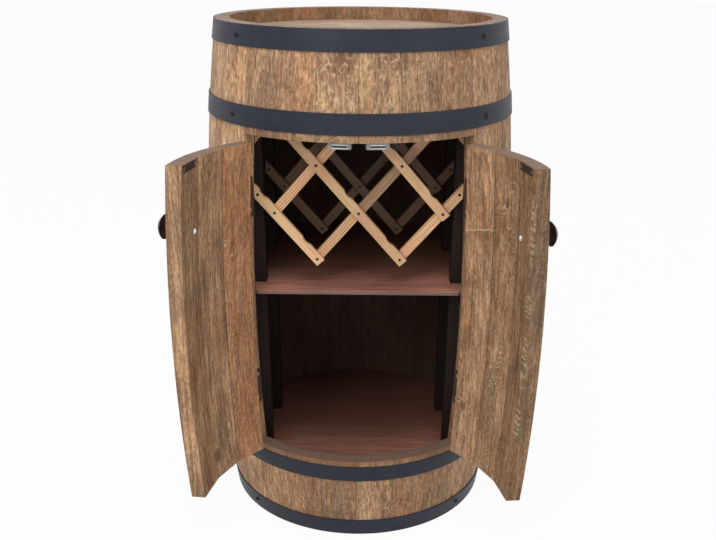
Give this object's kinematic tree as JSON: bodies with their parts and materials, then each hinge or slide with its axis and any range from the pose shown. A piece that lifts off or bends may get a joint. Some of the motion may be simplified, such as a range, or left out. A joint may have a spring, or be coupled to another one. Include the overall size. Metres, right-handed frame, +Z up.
{
  "type": "barrel bar cabinet",
  "caption": "Upright oak barrel turned into a drinks cabinet, with two hinged stave doors, a lattice wine rack and a bottle shelf inside.",
  "frame": {"origin": "on the floor on the barrel's axis", "axes": "+Z up along the barrel's axis, the doorway faces -Y, +X to the right seen from the front"},
  "size_m": [0.5374, 0.6026, 0.8],
  "materials": {
    "oak_stave": "stained oak stave, satin, tan-brown with grey and orange streaks",
    "oak_door": "stained oak door stave, satin",
    "oak_head": "light stained oak, matte",
    "hoop_steel": "satin blue-black lacquered steel",
    "black_screw": "black lacquered domed screw",
    "stained_board": "reddish-brown stained board, matte",
    "stained_post": "dark stained batten, matte",
    "beech_dowel": "plain beech dowel",
    "pine_slat": "planed pine with reddish growth lines, thin clear coat",
    "rack_screw": "browned countersunk screw",
    "catch_plastic": "light grey moulded plastic",
    "magnet": "sintered ferrite magnet",
    "zinc_steel": "bright zinc-plated steel",
    "dark_steel": "dark patinated steel plate",
    "hinge_steel": "burnished dark steel",
    "dark_knob": "turned wood, dark brown gloss lacquer"
  },
  "bodies": {
    "cabinet": {"bottom_head": "oak_head", "bottom_hoop": "hoop_steel", "catch_housings": "catch_plastic", "catch_magnets": "magnet", "catch_pole_plates": "zinc_steel", "catch_screws": "zinc_steel", "ceiling_board": "stained_board", "floor_blocks": "stained_post", "floor_board": "stained_board", "frame_hinge_leaves": "hinge_steel", "frame_hinge_screws": "zinc_steel", "front_rack_falling_slats": "pine_slat", "front_rack_rising_slats": "pine_slat", "hinge_pins": "hinge_steel", "hoop_screws": "black_screw", "lower_front_staves": "oak_stave", "lower_hoop": "hoop_steel", "middle_shelf": "stained_board", "post_dowels": "beech_dowel", "rack_posts": "stained_post", "rack_screws": "rack_screw", "rear_rack_falling_slats": "pine_slat", "rear_rack_rising_slats": "pine_slat", "shelf_posts": "stained_post", "stave_01": "oak_stave", "stave_02": "oak_stave", "stave_03": "oak_stave", "stave_04": "oak_stave", "stave_05": "oak_stave", "stave_06": "oak_stave", "stave_07": "oak_stave", "stave_08": "oak_stave", "stave_09": "oak_stave", "stave_10": "oak_stave", "stave_11": "oak_stave", "stave_12": "oak_stave", "stave_13": "oak_stave", "stave_14": "oak_stave", "stave_15": "oak_stave", "stave_16": "oak_stave", "stave_17": "oak_stave", "stave_18": "oak_stave", "top_head": "oak_head", "top_hoop": "hoop_steel", "upper_front_staves": "oak_stave", "upper_hoop": "hoop_steel"},
    "left_door": {"left_door_hinge_leaves": "hinge_steel", "left_door_screws": "zinc_steel", "left_door_stave_1": "oak_door", "left_door_stave_2": "oak_door", "left_door_stave_3": "oak_door", "left_knob": "dark_knob", "left_strike_plate": "dark_steel"},
    "right_door": {"right_door_hinge_leaves": "hinge_steel", "right_door_screws": "zinc_steel", "right_door_stave_1": "oak_door", "right_door_stave_2": "oak_door", "right_door_stave_3": "oak_door", "right_knob": "dark_knob", "right_strike_plate": "dark_steel"}
  },
  "joints": [
    {"name": "left_door_hinge", "type": "hinge", "parent": "cabinet", "child": "left_door", "pos_m": [-0.17206, -0.18548, 0.405], "axis": [0, 0, -1], "range_deg": [-95, 25]},
    {"name": "right_door_hinge", "type": "hinge", "parent": "cabinet", "child": "right_door", "pos_m": [0.17206, -0.18548, 0.405], "axis": [0, 0, 1], "range_deg": [-95, 25]}
  ]
}
